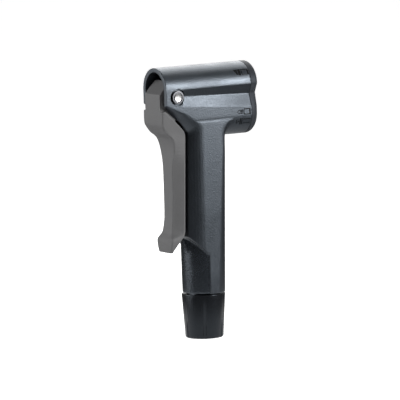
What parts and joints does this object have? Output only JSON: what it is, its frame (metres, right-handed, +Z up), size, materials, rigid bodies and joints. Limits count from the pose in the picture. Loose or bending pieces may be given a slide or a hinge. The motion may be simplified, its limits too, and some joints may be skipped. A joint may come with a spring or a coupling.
{
  "type": "tire inflator head",
  "caption": "Hand-held tire inflator head with a wide and a slim valve port, a hinged clamping lever, a straight grip stem and a hose collar.",
  "frame": {"origin": "on the stem's axis, at the collar's lower face, where the hose goes in", "axes": "+Z up the stem towards the head; +X towards the two valve ports; the lever hangs on the -X side"},
  "size_m": [0.0508, 0.0204, 0.1247],
  "materials": {
    "body_plastic": "charcoal, fine spark texture",
    "cap_plastic": "darker, smooth",
    "collar_plastic": "black, satin",
    "lever_plastic": "matte mid grey",
    "yoke_plastic": "black, low friction",
    "piston_plastic": "white, low friction",
    "gland_rubber": "black",
    "seal_rubber": "black",
    "pin_steel": "polished",
    "screw_steel": "zinc plated",
    "spring_steel": "bright wire",
    "barb_brass": "turned"
  },
  "bodies": {
    "head": {"head_body": "body_plastic", "end_cap": "cap_plastic", "end_cap_screw_left": "screw_steel", "end_cap_screw_right": "screw_steel", "wide_gland": "gland_rubber", "slim_gland": "gland_rubber", "pivot_pin": "pin_steel", "pin_retainer": "pin_steel", "hose_barb": "barb_brass", "barb_ring": "seal_rubber", "hose_ferrule": "piston_plastic", "slip_washer": "screw_steel", "collar": "collar_plastic"},
    "lever_arm": {"lever": "lever_plastic", "lever_bush": "barb_brass"},
    "plunger": {"yoke": "yoke_plastic", "wide_piston": "piston_plastic", "slim_piston": "piston_plastic", "wide_piston_ring": "seal_rubber", "slim_piston_ring": "seal_rubber", "wide_poppet_spring": "spring_steel", "slim_poppet_spring": "spring_steel"},
    "wide_pin": {"wide_poppet": "barb_brass"},
    "slim_pin": {"slim_poppet": "barb_brass"}
  },
  "joints": [
    {"name": "lever_hinge", "type": "hinge", "parent": "head", "child": "lever_arm", "pos_m": [-0.0168, 0, 0.1116], "axis": [0, 1, 0], "range_deg": [0, 90]},
    {"name": "plunger_slide", "type": "slide", "parent": "head", "child": "plunger", "axis": [1, 0, 0], "range_m": [0, 0.003], "deforming": ["wide_gland", "slim_gland"]},
    {"name": "wide_poppet_slide", "type": "slide", "parent": "plunger", "child": "wide_pin", "axis": [-1, 0, 0], "range_m": [0, 0.002], "stiffness_N_per_m": 200, "springref_m": -0.003, "deforming": ["wide_poppet_spring"]},
    {"name": "slim_poppet_slide", "type": "slide", "parent": "plunger", "child": "slim_pin", "axis": [-1, 0, 0], "range_m": [0, 0.002], "stiffness_N_per_m": 200, "springref_m": -0.003, "deforming": ["slim_poppet_spring"]}
  ],
  "couplings": [
    {"joint": "plunger_slide", "follows": "lever_hinge", "m_per_rad": 0.0019098}
  ]
}
